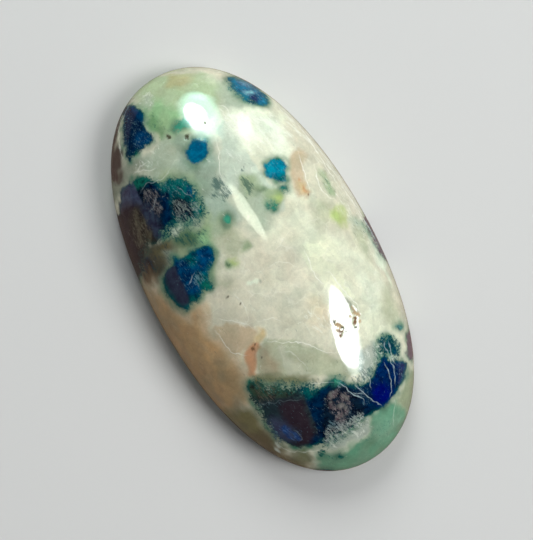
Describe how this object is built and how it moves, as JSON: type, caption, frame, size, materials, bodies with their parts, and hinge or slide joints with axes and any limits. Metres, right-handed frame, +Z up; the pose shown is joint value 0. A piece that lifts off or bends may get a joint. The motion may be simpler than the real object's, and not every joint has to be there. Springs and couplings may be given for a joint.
{
  "type": "hauyne cabochon",
  "caption": "Polished oval cabochon cut from pale rock with deep blue hauyne crystals, domed on top and flat on the back, to be set or glued as a decorative stone.",
  "frame": {"origin": "middle of the flat back, which the stone rests on", "axes": "+X along the stone's length, +Y across its width, +Z up through the crown of the dome"},
  "size_m": [0.036, 0.019, 0.0078],
  "materials": {
    "polished_stone": "polished, mottled pale green and cream rock with deep blue patches"
  },
  "bodies": {
    "root": {"cabochon": "polished_stone"}
  },
  "joints": []
}
